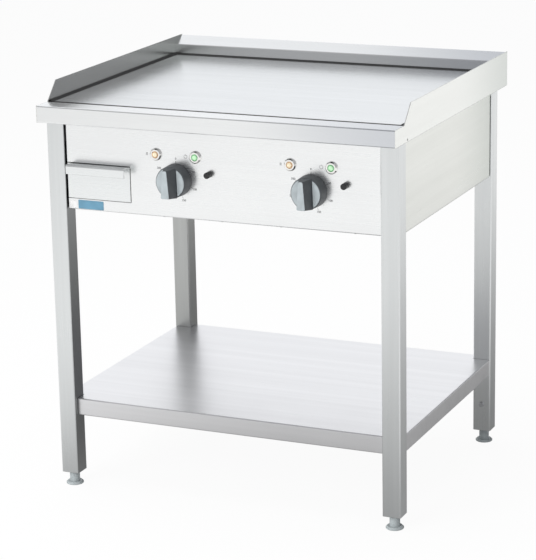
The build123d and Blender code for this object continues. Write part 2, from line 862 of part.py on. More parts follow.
for name, gx in zip(("left", "right"), group_x):
    with BuildPart() as knob:
        with BuildSketch(facing(knob_back)):
            with Locations((gx, knob_z)):
                Circle(knob_r)
        extrude(amount=knob_skirt, taper=knob_taper)
        fillet(knob.edges().filter_by(GeomType.CIRCLE).group_by(Axis.Y)[0], 1.5)
        with BuildSketch(facing(knob_front + ridge_sink)):
            add(ridge_outline(gx, ridge_root_widths, *ridge_root_setbacks))
        with BuildSketch(facing(ridge_front + face_thickness)):
            add(ridge_outline(gx, ridge_front_widths, *ridge_front_setbacks))
        loft()
        with BuildSketch(facing(knob_back)):
            with Locations((gx, knob_z)):
                Circle(spindle_d / 2)
        extrude(amount=knob_skirt, mode=Mode.SUBTRACT)
    save(knob, "knob_" + name)

    with BuildPart() as knob_face:
        with BuildSketch(facing(knob_front)):
            with Locations((gx, knob_z)):
                Circle(face_r - 2)
            add(ridge_outline(gx, ridge_root_widths, 0, 0, margin=-face_margin), mode=Mode.SUBTRACT)
        extrude(amount=face_thickness)
        with BuildSketch(facing(ridge_front + face_thickness)):
            add(ridge_outline(gx, ridge_front_widths, *ridge_front_setbacks, margin=face_inset))
        extrude(amount=face_thickness)
    save(knob_face, "knob_face_" + name)

    with BuildPart() as spindle:
        with BuildSketch(facing(panel_y + spindle_length)):
            with Locations((gx, knob_z)):
                Circle(spindle_d / 2)
        extrude(amount=spindle_length + knob_gap + knob_skirt)
    save(spindle, "knob_spindle_" + name)

    # the thermostat: a square body behind the panel, and its bush through the panel round the spindle
    with BuildPart() as thermostat:
        with BuildSketch(facing(panel_in + thermostat_depth)):
            with Locations((gx, knob_z)):
                RectangleRounded(thermostat_size, thermostat_size, 3)
        extrude(amount=thermostat_depth)
        with BuildSketch(facing(panel_in)):
            with Locations((gx, knob_z)):
                Circle(bush_d / 2)
        extrude(amount=sheet)
        with BuildSketch(facing(panel_in + thermostat_depth)):
            with Locations((gx, knob_z)):
                Circle(spindle_d / 2 + spindle_clearance)
        extrude(amount=thermostat_depth + sheet, mode=Mode.SUBTRACT)
    save(thermostat, "thermostat_" + name)

# ---- indicator lamps: a chrome bezel, a coloured lens and a barrel with its nut ----
with BuildPart() as lamp_bezels:
    with BuildSketch(facing(panel_y)):
        with Locations(*lamp_places):
            Circle(lamp_bezel_d / 2)
    extrude(amount=lamp_bezel_h)
    chamfer(lamp_bezels.edges().filter_by(GeomType.CIRCLE).group_by(Axis.Y)[0], 2.5)
    with BuildSketch(facing(panel_y)):
        with Locations(*lamp_places):
            Circle(lamp_lens_d / 2 + thread_clearance)
    extrude(amount=lamp_bezel_h, mode=Mode.SUBTRACT)
save(lamp_bezels, "lamp_bezels")

for name, first in (("heating", 0), ("power", 1)):
    with BuildPart() as lamp_lens:
        with BuildSketch(facing(panel_y)):
            with Locations(*lamp_places[first::2]):
                Circle(lamp_lens_d / 2)
        extrude(amount=lamp_lens_h)
        fillet(lamp_lens.edges().filter_by(GeomType.CIRCLE).group_by(Axis.Y)[0], 2.5)
    save(lamp_lens, name + "_lamp_lenses")

with BuildPart() as lamp_barrels:
    with BuildSketch(facing(panel_y)):
        with Locations(*lamp_places):
            Circle(lamp_barrel_d / 2)
    extrude(amount=-lamp_barrel_length)
    with BuildSketch(facing(panel_in)):
        with Locations(*lamp_places):
            RegularPolygon(lamp_barrel_d / 2 + 3, 6, major_radius=False)
    extrude(amount=-lamp_nut_h)
save(lamp_barrels, "lamp_barrels")

# ---- safety thermostats, each with a sprung reset button under a black screw cap ----
bush_proud = cap_length - cap_wall - button_proud - button_travel - 2
safety_depth = safety_size[2]
with BuildPart() as safety_thermostats:
    with BuildSketch(facing(panel_in + safety_depth)):
        with Locations(*reset_places):
            RectangleRounded(safety_size[0], safety_size[1], 2)
    extrude(amount=safety_depth)
    with BuildSketch(facing(panel_in)):
        with Locations(*reset_places):
            Circle(reset_bush_d / 2)
    extrude(amount=sheet + bush_proud)
    with BuildSketch(facing(panel_in + safety_depth / 2)):
        with Locations(*reset_places):
            Circle(button_d / 2 + button_clearance)
    extrude(amount=safety_depth / 2 + sheet + bush_proud, mode=Mode.SUBTRACT)
save(safety_thermostats, "safety_thermostats")

for name, (x, z) in zip(("left", "right"), reset_places):
    with BuildPart() as reset_button:
        with BuildSketch(facing(panel_in + safety_depth / 2 - button_travel - 1)):
            with Locations((x, z)):
                Circle(button_d / 2)
        extrude(amount=safety_depth / 2 - button_travel - 1 + sheet + bush_proud + button_proud)
        fillet(reset_button.edges().filter_by(GeomType.CIRCLE).group_by(Axis.Y)[0], 0.6)
    save(reset_button, "reset_button_" + name)

    with BuildPart() as reset_cap:
        with BuildSketch(facing(panel_y - cap_clearance)):
            with Locations((x, z)):
                Circle(cap_d / 2)
        extrude(amount=cap_length - cap_clearance)
        fillet(reset_cap.edges().filter_by(GeomType.CIRCLE).group_by(Axis.Y)[0], 1.2)
        with BuildSketch(facing(panel_y - cap_clearance)):
            with Locations((x, z)):
                Circle(reset_bush_d / 2 + cap_clearance)
        extrude(amount=cap_length - cap_clearance - cap_wall, mode=Mode.SUBTRACT)
    save(reset_cap, "reset_cap_" + name)

# ---- contactors and terminal block, standing on the bottom cover ----
contactor_places = [(x, rear_panel_y - contactor_back) for x in contactor_x]
with BuildPart() as contactors:
    with BuildSketch(level(cover_top)):
        with Locations(*contactor_places):
            RectangleRounded(contactor_size[0], contactor_size[1], 2)
    extrude(amount=contactor_size[2])
    with BuildSketch(level(cover_top + contactor_size[2])):
        with Locations(*contactor_places):
            Rectangle(contactor_size[0], contactor_coil[0])
    extrude(amount=contactor_coil[1])
save(contactors, "contactors")

terminal_place = (gland_x - terminal_left, rear_panel_y - terminal_back)
with BuildPart() as terminal_block:
    with BuildSketch(level(cover_top)):
        with Locations(terminal_place):
            Rectangle(terminal_size[0], terminal_size[1])
    extrude(amount=terminal_size[2])
    with BuildSketch(level(cover_top + terminal_size[2])):
        with Locations(terminal_place):
            with GridLocations(*terminal_pitch, 5, 2):
                Circle(terminal_way_r)
    extrude(amount=-terminal_way_depth, mode=Mode.SUBTRACT)
save(terminal_block, "terminal_block")

# ---- cable gland in the rear panel ----
gland_nut_r = gland_r + gland_nut
with BuildPart() as cable_gland:
    with BuildSketch(facing(rear_panel_y)):
        with Locations((gland_x, gland_z)):
            RegularPolygon(gland_nut_r, 6, major_radius=False)
    extrude(amount=-gland_nut_h)
    with BuildSketch(facing(rear_panel_y + gland_nut_h)):
        with Locations((gland_x, gland_z)):
            Circle(gland_r + gland_wall)
    extrude(amount=-(gland_length - gland_nut_h))
    fillet(cable_gland.edges().filter_by(GeomType.CIRCLE).group_by(Axis.Y)[-1], 2)
    with BuildSketch(facing(rear_panel_y)):
        with Locations((gland_x, gland_z)):
            Circle(gland_r + gland_wall - bush_clearance)
    extrude(amount=sheet + gland_thread)
    with BuildSketch(facing(rear_panel_y - sheet)):
        with Locations((gland_x, gland_z)):
            RegularPolygon(gland_nut_r, 6, major_radius=False)
    extrude(amount=gland_back_h)
    with BuildSketch(facing(rear_panel_y + gland_length)):
        with Locations((gland_x, gland_z)):
            Circle(gland_r)
    extrude(amount=gland_length + sheet + gland_thread, mode=Mode.SUBTRACT)
save(cable_gland, "cable_gland")
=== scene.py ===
"""A free-standing electric griddle: brushed steel stand, housing and top, drip drawer and two controls."""
import math

import bmesh
import bpy
from mathutils import Matrix, Vector


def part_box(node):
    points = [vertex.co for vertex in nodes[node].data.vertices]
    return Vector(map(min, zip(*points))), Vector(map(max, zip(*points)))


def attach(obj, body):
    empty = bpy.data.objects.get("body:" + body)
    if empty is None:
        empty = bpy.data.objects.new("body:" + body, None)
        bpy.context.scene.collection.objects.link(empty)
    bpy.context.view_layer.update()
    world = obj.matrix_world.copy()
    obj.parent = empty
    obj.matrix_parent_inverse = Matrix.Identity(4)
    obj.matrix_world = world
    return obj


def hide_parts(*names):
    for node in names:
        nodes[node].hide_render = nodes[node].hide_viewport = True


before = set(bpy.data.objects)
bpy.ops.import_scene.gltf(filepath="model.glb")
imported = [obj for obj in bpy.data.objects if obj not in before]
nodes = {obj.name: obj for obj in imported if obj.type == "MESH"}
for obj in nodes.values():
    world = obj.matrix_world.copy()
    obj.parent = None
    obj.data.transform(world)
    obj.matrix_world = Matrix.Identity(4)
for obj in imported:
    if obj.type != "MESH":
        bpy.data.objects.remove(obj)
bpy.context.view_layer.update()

# ---- studio: a white sweep under soft light, with a dimmer room in front of the griddle ----
# The floor shows white to the eye and keeps a faint shadow. In the steel's gloss a painted shadow darkens it
# towards the stand, and it dims a little far to the left. The room is pale at the rear left and overhead on
# the left, and dim elsewhere. Two lamps light the matt surfaces alone.
scene = bpy.context.scene
scene.view_settings.view_transform = "Standard"

camera_data = bpy.data.cameras.new("camera")
camera = bpy.data.objects.new("camera", camera_data)
scene.collection.objects.link(camera)
scene.camera = camera
yaw, pitch, roll = (math.radians(a) for a in (-24.06, -15.53, -1.15))
ahead = Vector((math.sin(yaw) * math.cos(pitch), math.cos(yaw) * math.cos(pitch), math.sin(pitch)))
level_right = Vector((math.cos(yaw), -math.sin(yaw), 0))
level_up = level_right.cross(ahead)
right = level_right * math.cos(roll) + level_up * math.sin(roll)
up = level_up * math.cos(roll) - level_right * math.sin(roll)
camera.matrix_world = Matrix((
    (right.x, up.x, -ahead.x, 1.93759),
    (right.y, up.y, -ahead.y, -4.40705),
    (right.z, up.z, -ahead.z, 1.75981),
    (0, 0, 0, 1),
))
camera_data.sensor_width = 36
camera_data.lens = 146.23


def wire(tree, source, target):
    tree.links.new(source, target)


def math_node(tree, operation, a, b):
    node = tree.nodes.new("ShaderNodeMath")
    node.operation = operation
    for socket, value in zip(node.inputs, (a, b)):
        if isinstance(value, (int, float)):
            socket.default_value = value
        else:
            wire(tree, value, socket)
    return node.outputs[0]


def mapped(tree, value, low, high, from_low=0.3, from_high=0.7):
    node = tree.nodes.new("ShaderNodeMapRange")
    node.inputs["From Min"].default_value = from_low
    node.inputs["From Max"].default_value = from_high
    node.inputs["To Min"].default_value = low
    node.inputs["To Max"].default_value = high
    wire(tree, value, node.inputs["Value"])
    return node.outputs[0]


def mixed(tree, factor, a, b):
    node = tree.nodes.new("ShaderNodeMix")
    node.data_type = "RGBA"
    for socket, value in ((node.inputs["A"], a), (node.inputs["B"], b)):
        if isinstance(value, tuple):
            socket.default_value = (*value, 1)
        else:
            wire(tree, value, socket)
    wire(tree, factor, node.inputs["Factor"])
    return node.outputs["Result"]


def eased(tree, value, start, end, low=0.0, high=1.0):
    """A soft step: low where the value is at start, high where it is at end."""
    node = tree.nodes.new("ShaderNodeMapRange")
    node.interpolation_type = "SMOOTHSTEP"
    node.inputs["From Min"].default_value = start
    node.inputs["From Max"].default_value = end
    node.inputs["To Min"].default_value = low
    node.inputs["To Max"].default_value = high
    wire(tree, value, node.inputs["Value"])
    return node.outputs[0]


def coordinates(tree, kind):
    """A kind of texture coordinate whole, and its X, Y and Z apart."""
    whole = tree.nodes.new("ShaderNodeTexCoord").outputs[kind]
    apart = tree.nodes.new("ShaderNodeSeparateXYZ")
    wire(tree, whole, apart.inputs[0])
    return whole, apart.outputs


def vector_node(tree, operation, vector, constant, output):
    node = tree.nodes.new("ShaderNodeVectorMath")
    node.operation = operation
    node.inputs[1].default_value = constant
    wire(tree, vector, node.inputs[0])
    return node.outputs[output]


REAR_LEFT = (-0.8, 0.6, 0)
PALE_ROOM = (0.97, 0.98, 1.0)
DIM_FRONT = (0.44, 0.44, 0.45)
DIM_REAR = (0.24, 0.24, 0.25)
WHITE = (1.0, 1.0, 1.0)
world = bpy.data.worlds.new("room")
scene.world = world
world.use_nodes = True
tree = world.node_tree
toward, axes = coordinates(tree, "Generated")
rear_left = eased(tree, vector_node(tree, "DOT_PRODUCT", toward, REAR_LEFT, "Value"), 0.25, 0.65)
overhead = eased(tree, axes["Z"], 0.4, 0.8)
not_front = eased(tree, axes["Y"], -0.45, 0.15)
to_left = eased(tree, axes["X"], -0.31, -0.40, 0.1, 0.92)
ceiling = math_node(tree, "MULTIPLY", math_node(tree, "MULTIPLY", overhead, not_front), to_left)
open_sky = math_node(tree, "MAXIMUM", rear_left, ceiling)
room_tone = mixed(tree, open_sky, mixed(tree, not_front, DIM_FRONT, DIM_REAR), PALE_ROOM)
by_eye = tree.nodes.new("ShaderNodeLightPath").outputs["Is Camera Ray"]
wire(tree, mixed(tree, by_eye, room_tone, WHITE), tree.nodes["Background"].inputs["Color"])

FLOOR_HALF = 30
FLOOR_SQUASH = (1, 0.4, 1)
UNDER_STAND = (0.1, 0.44, 0)
floor_mesh = bpy.data.meshes.new("floor")
corners = [(x * FLOOR_HALF, y * FLOOR_HALF, 0) for x, y in ((-1, -1), (1, -1), (1, 1), (-1, 1))]
floor_mesh.from_pydata(corners, [], [(0, 1, 2, 3)])
floor = bpy.data.objects.new("floor", floor_mesh)
scene.collection.objects.link(floor)
sweep = bpy.data.materials.new("white_sweep")
sweep.use_nodes = True
tree = sweep.node_tree
matt = tree.nodes["Principled BSDF"]
matt.inputs["Base Color"].default_value = (0.86, 0.86, 0.86, 1)
matt.inputs["Roughness"].default_value = 0.9
rays = tree.nodes.new("ShaderNodeLightPath").outputs
by_eye = rays["Is Camera Ray"]
seen = math_node(tree, "MAXIMUM", math_node(tree, "MAXIMUM", by_eye, rays["Is Glossy Ray"]),
                 rays["Is Transmission Ray"])
spot, axes = coordinates(tree, "Object")
squashed = vector_node(tree, "MULTIPLY", spot, FLOOR_SQUASH, "Vector")
away = vector_node(tree, "DISTANCE", squashed, UNDER_STAND, "Value")
# Painted shadow of the stand on the floor, seen only in the steel's gloss: the glow falls to 0.22 near it.
clear = eased(tree, away, 0.35, 1.45, 0.22)
far_left = eased(tree, axes["X"], -2.4, -1.5, 0.88)
glow = tree.nodes.new("ShaderNodeEmission")
wire(tree, math_node(tree, "MAXIMUM", math_node(tree, "MULTIPLY", clear, far_left), by_eye),
     glow.inputs["Strength"])
blend = tree.nodes.new("ShaderNodeMixShader")
wire(tree, math_node(tree, "MULTIPLY", seen, mapped(tree, by_eye, 0.92, 0.94, 0, 1)), blend.inputs[0])
wire(tree, matt.outputs[0], blend.inputs[1])
wire(tree, glow.outputs[0], blend.inputs[2])
wire(tree, blend.outputs[0], tree.nodes["Material Output"].inputs["Surface"])
floor_mesh.materials.append(sweep)


def soft_panel(name, place, aim, size, watts):
    """A lamp that lights matt surfaces only, so that steel mirrors the room alone."""
    lamp = bpy.data.lights.new(name, "AREA")
    lamp.size = size
    lamp.energy = watts
    holder = bpy.data.objects.new(name, lamp)
    scene.collection.objects.link(holder)
    holder.location = place
    holder.visible_glossy = False
    holder.rotation_euler = (Vector(aim) - Vector(place)).to_track_quat("-Z", "Y").to_euler()


soft_panel("top_panel", (-0.4, -0.2, 3.6), (0, 0, 0.8), 3.0, 75)
soft_panel("front_fill", (-1.6, -4.6, 2.6), (0, 0, 0.6), 3.0, 150)

# ---- legs and top rails: square tube and flat bar, with the grain running along each tube ----
# Satin stainless tube, ground along its length, with painted shade darkening its corners. Painted shade also
# darkens the left front leg's inner face and the whole rear left leg. The rails are flat bars, welded
# between the legs' tops. The shared groups for grain and for edges are made here, where steel is first used.


def new_group(name, sockets):
    """A shader group with the named sockets: (name, 'INPUT' or 'OUTPUT', type, default)."""
    group = bpy.data.node_groups.new(name, "ShaderNodeTree")
    for label, way, kind, value in sockets:
        socket = group.interface.new_socket(name=label, in_out=way, socket_type="NodeSocket" + kind)
        if value is not None:
            socket.default_value = value
    return group, group.nodes.new("NodeGroupInput"), group.nodes.new("NodeGroupOutput")


def grain_group():
    """Fine scratches along one direction with broader soft bands among them, and cloudy smudges."""
    group, given, gives = new_group("brushed_grain", [
        ("Scratches", "INPUT", "Vector", (4, 900, 900)),
        ("Bands", "INPUT", "Vector", (0.7, 45, 45)),
        ("Height", "OUTPUT", "Float", None),
        ("Tone", "OUTPUT", "Float", None),
        ("Smudge", "OUTPUT", "Float", None),
    ])
    place = group.nodes.new("ShaderNodeTexCoord")
    for label, output, detail in (("Scratches", "Height", 3), ("Bands", "Tone", 4)):
        stretch = group.nodes.new("ShaderNodeVectorMath")
        stretch.operation = "MULTIPLY"
        wire(group, place.outputs["Object"], stretch.inputs[0])
        wire(group, given.outputs[label], stretch.inputs[1])
        noise = group.nodes.new("ShaderNodeTexNoise")
        noise.inputs["Scale"].default_value = 1
        noise.inputs["Detail"].default_value = detail
        noise.inputs["Roughness"].default_value = 0.65
        wire(group, stretch.outputs[0], noise.inputs["Vector"])
        wire(group, noise.outputs[0], gives.inputs[output])
    cloud = group.nodes.new("ShaderNodeTexNoise")
    cloud.inputs["Scale"].default_value = 7
    cloud.inputs["Detail"].default_value = 3
    wire(group, place.outputs["Object"], cloud.inputs["Vector"])
    wire(group, cloud.outputs[0], gives.inputs["Smudge"])
    return group


def edge_group():
    """1 along sharp edges, 0 on flat ground, from how far a rounded normal leans from the true one."""
    group, given, gives = new_group("edge_wear_and_shade", [
        ("Radius", "INPUT", "Float", 0.0012),
        ("Edge", "OUTPUT", "Float", None),
        ("Rounded", "OUTPUT", "Vector", None),
    ])
    rounding = group.nodes.new("ShaderNodeBevel")
    rounding.samples = 6
    wire(group, given.outputs["Radius"], rounding.inputs["Radius"])
    shape = group.nodes.new("ShaderNodeNewGeometry")
    lean = group.nodes.new("ShaderNodeVectorMath")
    lean.operation = "DOT_PRODUCT"
    wire(group, rounding.outputs[0], lean.inputs[0])
    wire(group, shape.outputs["Normal"], lean.inputs[1])
    spread = group.nodes.new("ShaderNodeMapRange")
    spread.inputs["From Min"].default_value = 0.995
    spread.inputs["From Max"].default_value = 0.8
    wire(group, lean.outputs["Value"], spread.inputs["Value"])
    wire(group, spread.outputs[0], gives.inputs["Edge"])
    wire(group, rounding.outputs[0], gives.inputs["Rounded"])
    return group


grain = grain_group()
edges = edge_group()
ALONG = {
    "x": ((5, 900, 900), (0.8, 42, 42)),
    "y": ((900, 5, 900), (42, 0.8, 42)),
    "z": ((900, 900, 5), (42, 42, 0.8)),
}


def placed(tree, group, **values):
    node = tree.nodes.new("ShaderNodeGroup")
    node.node_tree = group
    for label, value in values.items():
        node.inputs[label].default_value = value
    return node


def within(tree, low, high):
    """1 inside the box between two corners in the part's frame, else 0."""
    _, parts = coordinates(tree, "Object")
    inside = 1
    for axis, least, most in zip("XYZ", low, high):
        above = math_node(tree, "GREATER_THAN", parts[axis], least)
        below = math_node(tree, "LESS_THAN", parts[axis], most)
        both = math_node(tree, "MULTIPLY", above, below)
        inside = math_node(tree, "MULTIPLY", both, inside)
    return inside


PALE_EDGE = (0.93, 0.93, 0.93)
# The box's default tint, near black: painted deep shade, as in the gutter.
DEEP_SHADE = (0.035, 0.032, 0.030)


def brushed_steel(name, along, dark, light, smooth, rough, scratch=0.1, edge=0.0012,
                  edge_tint=PALE_EDGE, shade_box=None, shade_tint=DEEP_SHADE, shade_ramp=None):
    """Ground stainless: bands between two tints, fine scratches one way, cloudy smudges, tinted edges.

    The edge tint is wear where it is pale and painted shade where it is dark. The box, as two corners of the
    part's frame, is where painted shade gives the steel another tint. The ramp is an axis, where along it
    painted shade starts and stops darkening the steel, and the shaded tint."""
    steel = bpy.data.materials.new(name)
    steel.use_nodes = True
    tree = steel.node_tree
    shader = tree.nodes["Principled BSDF"]
    shader.inputs["Metallic"].default_value = 1
    scratches, bands = ALONG[along]
    lines = placed(tree, grain, Scratches=scratches, Bands=bands)
    edging = placed(tree, edges, Radius=edge)
    tone = math_node(tree, "ADD", math_node(tree, "MULTIPLY", lines.outputs["Tone"], 0.7),
                     math_node(tree, "MULTIPLY", lines.outputs["Smudge"], 0.3))
    tint = mixed(tree, mapped(tree, tone, 0, 1), dark, light)
    # A pale edge tint is wear; a dark edge tint is painted shade along corners and bends.
    tint = mixed(tree, math_node(tree, "MULTIPLY", edging.outputs["Edge"], 0.5), tint, edge_tint)
    # Painted shade, darkening the steel along the ramp's axis.
    if shade_ramp:
        axis, start, end, ramp_tint = shade_ramp
        _, parts = coordinates(tree, "Object")
        tint = mixed(tree, eased(tree, parts[axis], start, end), tint, ramp_tint)
    # Painted shade inside the box.
    if shade_box:
        tint = mixed(tree, within(tree, *shade_box), tint, shade_tint)
    wire(tree, tint, shader.inputs["Base Color"])
    uneven = math_node(tree, "ADD", math_node(tree, "MULTIPLY", lines.outputs["Height"], 0.6),
                       math_node(tree, "MULTIPLY", lines.outputs["Smudge"], 0.4))
    wire(tree, mapped(tree, uneven, smooth, rough), shader.inputs["Roughness"])
    relief = tree.nodes.new("ShaderNodeBump")
    relief.inputs["Strength"].default_value = scratch
    relief.inputs["Distance"].default_value = 0.00005
    wire(tree, lines.outputs["Height"], relief.inputs["Height"])
    wire(tree, edging.outputs["Rounded"], relief.inputs["Normal"])
    wire(tree, relief.outputs[0], shader.inputs["Normal"])
    return steel


def dress(material, *names):
    """Gives a CAD node's own slots the material."""
    for name in names:
        mesh = nodes[name].data
        if not mesh.materials:
            mesh.materials.append(material)
        for index in range(len(mesh.materials)):
            mesh.materials[index] = material


CORNERS = ("front_left", "front_right", "rear_left", "rear_right")
LEG_TINTS = ((0.75, 0.77, 0.77), (0.83, 0.85, 0.85), 0.26, 0.36)
# The dark edge tint is painted shade along the tubes' corners.
LEG_SHADED_EDGES = {"edge": 0.0016, "edge_tint": (0.16, 0.16, 0.16)}
inner_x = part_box("leg_front_left")[1][0]
# Painted shade on the left front leg's inner face.
SHADED_INNER_FACE = ((inner_x - 0.0008, -1, 0), (0, 1, 1))
tube_steel = brushed_steel("tube_steel", "z", *LEG_TINTS, **LEG_SHADED_EDGES)
bar_steel = brushed_steel("bar_steel", "x", (0.50, 0.50, 0.49), (0.60, 0.60, 0.59), 0.38, 0.50)
left_tube_steel = brushed_steel("left_tube_steel", "z", *LEG_TINTS, **LEG_SHADED_EDGES, shade_box=SHADED_INNER_FACE,
                                shade_tint=(0.34, 0.35, 0.35))
# A copy of the tube steel painted darker as shade, for the rear left leg.
shaded_tube_steel = brushed_steel("shaded_tube_steel", "z", (0.46, 0.47, 0.46), (0.56, 0.57, 0.56), 0.30, 0.40)
dress(tube_steel, *("leg_" + corner for corner in CORNERS))
dress(left_tube_steel, "leg_front_left")
dress(shaded_tube_steel, "leg_rear_left")
dress(bar_steel, "top_rails")

# ---- shelf: one folded sheet notched round the legs, on brackets with bolts and nuts ----
# Stainless sheet with its grain running from side to side and a lip folded down on each side. It lies on
# zinc-plated brackets that are bolted to the legs. The earth bolt has the same plating.
shelf_steel = brushed_steel("shelf_steel", "x", (0.84, 0.84, 0.85), (0.92, 0.92, 0.93), 0.26, 0.36)
zinc_steel = brushed_steel("zinc_steel", "x", (0.50, 0.51, 0.53), (0.66, 0.67, 0.69), 0.30, 0.45)
dress(shelf_steel, "shelf", "shelf_stiffener")
dress(zinc_steel, "shelf_brackets", "shelf_bolts", "shelf_nuts", "earth_bolt")

# ---- top: rim, side guards and rear upstand, folded and welded, with the ground plate lying inside ----
# Brighter stainless sheet than the stand's. Painted shade darkens the rim and upstand towards the right and
# along their bends, and the guards towards the rear. The plate is thick ground steel that lies on ledges and
# on an angle inside each guard, with its edges tinted dark. Painted shade tints the gutter in front of it
# and the plate's own front margin near black.
GUTTER_REACH = 0.0058
MARGIN = 0.0055
plate_low, plate_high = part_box("griddle_plate")
# Painted shade: the gutter and the plate's front margin are tinted near black, as the gutter's shadow.
GUTTER_SHADE = ((-1, plate_low[1] - GUTTER_REACH, 0), (1, plate_low[1] + MARGIN, plate_high[2] + 0.0002))
# The rim and upstand: painted shade towards the right, and a dark edge tint as painted shade along the
# bends.
top_steel = brushed_steel("top_steel", "x", (0.88, 0.89, 0.89), (0.93, 0.94, 0.94), 0.20, 0.28,
                          scratch=0.05, edge_tint=(0.66, 0.66, 0.66), shade_box=GUTTER_SHADE,
                          shade_ramp=("X", 0.0, 0.42, (0.66, 0.68, 0.71)))
# Painted shade darkens the guards towards the rear.
guard_steel = brushed_steel("guard_steel", "y", (0.89, 0.90, 0.87), (0.94, 0.95, 0.92), 0.20, 0.28,
                            shade_ramp=("Y", 0.0, 0.42, (0.68, 0.71, 0.68)))
# The plate: painted shade in the gutter box, and its edges tinted dark.
plate_steel = brushed_steel("plate_steel", "x", (0.77, 0.79, 0.80), (0.84, 0.86, 0.87), 0.17, 0.26,
                            scratch=0.06, edge_tint=(0.45, 0.45, 0.45), shade_box=GUTTER_SHADE)
dress(top_steel, "front_rim", "rear_upstand")
dress(guard_steel, "side_guard_left", "side_guard_right")
dress(plate_steel, "griddle_plate")
dress(zinc_steel, "plate_supports", "drain_chute")

# ---- plate joint: a black bead standing in for the shadowed gap where the plate meets the guards and upstand ----
# It runs in one piece along the left guard, the upstand and the right guard, with a sloping face.
SEAM = 0.001
HAIR = 0.00002
BEAD_SETBACK = 0.002
BEAD_REACH = 0.010
BEAD_RISE = 0.003


def moulded(name, colour, rough, speck=0.12, grain_size=900, shade=0.8, coat=0.0):
    """Plastic or board with a fine moulded texture and slightly uneven colour."""
    plastic = bpy.data.materials.new(name)
    plastic.use_nodes = True
    tree = plastic.node_tree
    shader = tree.nodes["Principled BSDF"]
    shader.inputs["Coat Weight"].default_value = coat
    place = tree.nodes.new("ShaderNodeTexCoord")
    fine = tree.nodes.new("ShaderNodeTexNoise")
    fine.inputs["Scale"].default_value = grain_size
    fine.inputs["Detail"].default_value = 2
    broad = tree.nodes.new("ShaderNodeTexNoise")
    broad.inputs["Scale"].default_value = grain_size / 20
    for noise in (fine, broad):
        wire(tree, place.outputs["Object"], noise.inputs["Vector"])
    wire(tree, mixed(tree, mapped(tree, broad.outputs[0], 0, 1), tuple(c * shade for c in colour), colour),
         shader.inputs["Base Color"])
    wire(tree, mapped(tree, fine.outputs[0], rough - 0.06, rough + 0.06), shader.inputs["Roughness"])
    edging = placed(tree, edges, Radius=0.0008)
    relief = tree.nodes.new("ShaderNodeBump")
    relief.inputs["Strength"].default_value = speck
    relief.inputs["Distance"].default_value = 0.0001
    wire(tree, fine.outputs[0], relief.inputs["Height"])
    wire(tree, edging.outputs["Rounded"], relief.inputs["Normal"])
    wire(tree, relief.outputs[0], shader.inputs["Normal"])
    return plastic


def piece_of(shape, name, *materials):
    """One piece from a bmesh, with its materials, riding on the stand's body."""
    mesh = bpy.data.meshes.new(name)
    shape.to_mesh(mesh)
    shape.free()
    for material in materials:
        mesh.materials.append(material)
    piece = bpy.data.objects.new(name, mesh)
    scene.collection.objects.link(piece)
    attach(piece, "griddle")
    return piece


def bead(name, reach, rise, material):
    """A three-cornered bead round three sides of the plate, against the guards and the upstand."""
    side = plate_high[0] + SEAM - HAIR
    rear = plate_high[1] + SEAM - HAIR
    level = plate_high[2] + HAIR
    front = plate_low[1] + BEAD_SETBACK
    shape = bmesh.new()
    rows = []
    for sx, y, ox, oy in ((-1, front, 1, 0), (-1, rear, 1, -1), (1, rear, -1, -1), (1, front, -1, 0)):
        foot = shape.verts.new((sx * side, y, level))
        top = shape.verts.new((sx * side, y, level + rise))
        toe = shape.verts.new((sx * side + ox * reach, y + oy * reach, level))
        rows.append((foot, top, toe))
    for one, two in zip(rows, rows[1:]):
        for k in range(3):
            shape.faces.new((one[k], one[(k + 1) % 3], two[(k + 1) % 3], two[k]))
    shape.faces.new(rows[0])
    shape.faces.new(rows[-1])
    bmesh.ops.recalc_face_normals(shape, faces=shape.faces)
    return piece_of(shape, name, material)


# The bead is painted shade: a black piece put where there is only the shadowed gap.
bead("plate_joint", BEAD_REACH, BEAD_RISE, moulded("joint_shade", (0.02, 0.02, 0.02), 0.55))

# ---- heating: oxidised elements under the plate, on studs and bars, over a fibre board in its tray ----
# Two bent tube elements with a heat-browned sheath, pressed to the plate by plated bars on studs. The
# thermostats' probes lie against the plate too. The board's tray hangs from the rails.
sheath = brushed_steel("element_sheath", "y", (0.16, 0.14, 0.12), (0.30, 0.27, 0.24), 0.40, 0.60)
dress(sheath, "heating_element_left", "heating_element_right", "thermostat_probes")
dress(zinc_steel, "element_clamps", "clamp_studs", "insulation_tray")
dress(moulded("fibre_board", (0.80, 0.77, 0.70), 0.9, 0.5, 300), "insulation_board")

# ---- feet: light grey plastic pads whose studs turn in inserts pressed into the legs ----
# A pad, a stem and a threaded stud in one moulding. The black inserts close the legs' lower ends.
foot_plastic = moulded("foot_plastic", (0.52, 0.57, 0.58), 0.5)
dress(foot_plastic, *("foot_" + corner for corner in CORNERS))
dress(moulded("insert_plastic", (0.05, 0.05, 0.05), 0.5), "leg_inserts")

# ---- housing: panels between the legs, the cover beneath, and their screws ----
# Stainless sheet. Painted shade tints the sides darker than the front, and darker still towards the rear.
# Screws hold the panels' lower flanges to the plated cover, and the rear panel to its rail.
panel_steel = brushed_steel("panel_steel", "x", (0.94, 0.95, 0.95), (0.97, 0.98, 0.98), 0.24, 0.32)
# Painted shade: the sides darker than the front, and darker towards the rear.
side_steel = brushed_steel("side_steel", "y", (0.84, 0.85, 0.81), (0.91, 0.92, 0.88), 0.26, 0.38,
                           shade_ramp=("Y", 0.0, 0.35, (0.66, 0.69, 0.65)))
dress(panel_steel, "front_panel", "rear_panel")
dress(side_steel, "side_panel_left", "side_panel_right")
dress(zinc_steel, "bottom_cover", "housing_screws")

